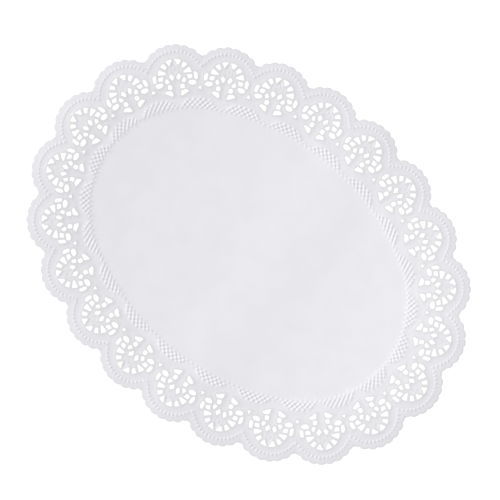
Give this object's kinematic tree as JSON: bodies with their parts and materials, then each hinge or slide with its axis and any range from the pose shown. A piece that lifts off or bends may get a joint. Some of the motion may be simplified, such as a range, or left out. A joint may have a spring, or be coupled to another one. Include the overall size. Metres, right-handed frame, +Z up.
{
  "type": "oval paper doily",
  "caption": "Flat oval white paper doily with a plain centre, an embossed lattice ring, a pierced fan-lace border and a scalloped edge.",
  "frame": {"origin": "centre of the oval, on the surface that the doily lies on", "axes": "+Z up out of the printed side, +X along the long axis, +Y along the short axis"},
  "size_m": [0.356, 0.2742, 0.001],
  "materials": {
    "paper": "matt white tissue-like paper, embossed, with a faint cool tint"
  },
  "bodies": {
    "root": {"doily": "paper"}
  },
  "joints": []
}
